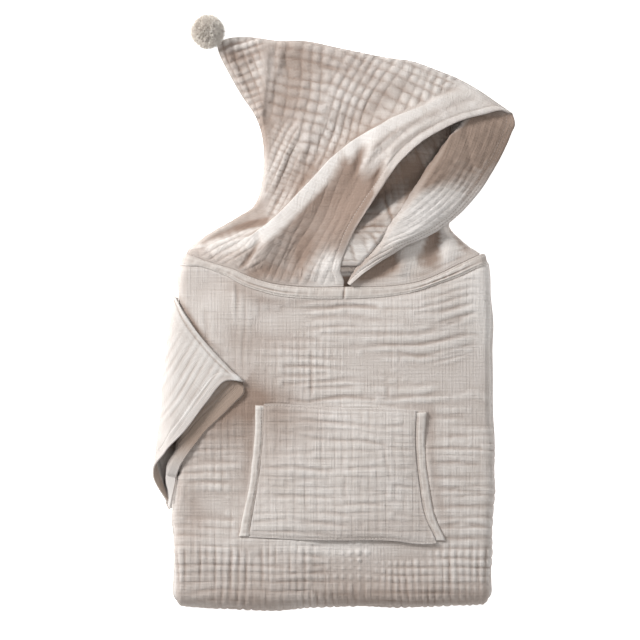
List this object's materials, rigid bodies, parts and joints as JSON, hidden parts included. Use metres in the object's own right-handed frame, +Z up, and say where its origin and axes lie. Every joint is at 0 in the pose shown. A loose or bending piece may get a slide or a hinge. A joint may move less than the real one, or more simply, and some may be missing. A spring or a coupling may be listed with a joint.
{
  "type": "hooded bath poncho, folded flat",
  "caption": "Child's gauze bath poncho laid out folded flat, pointed hood with a pompom opened to one side, kangaroo pocket, one sleeve laid over the front",
  "frame": {"origin": "middle of the outline on the surface it lies on", "axes": "+X to the viewer's right, +Y from the bottom fold towards the hood, +Z up out of the surface"},
  "size_m": [0.3625, 0.5933, 0.0512],
  "materials": {
    "gauze": "crinkled double gauze, matt",
    "binding": "folded gauze strip, matt",
    "yarn": "soft cut yarn, matt"
  },
  "bodies": {
    "root": {"front": "gauze", "folded_layers": "gauze", "neck_band": "binding", "hood_left": "gauze", "hood_right": "gauze", "sleeve": "gauze", "pocket": "gauze", "pocket_binding_left": "binding", "pocket_binding_right": "binding", "pompom": "yarn"}
  },
  "joints": []
}
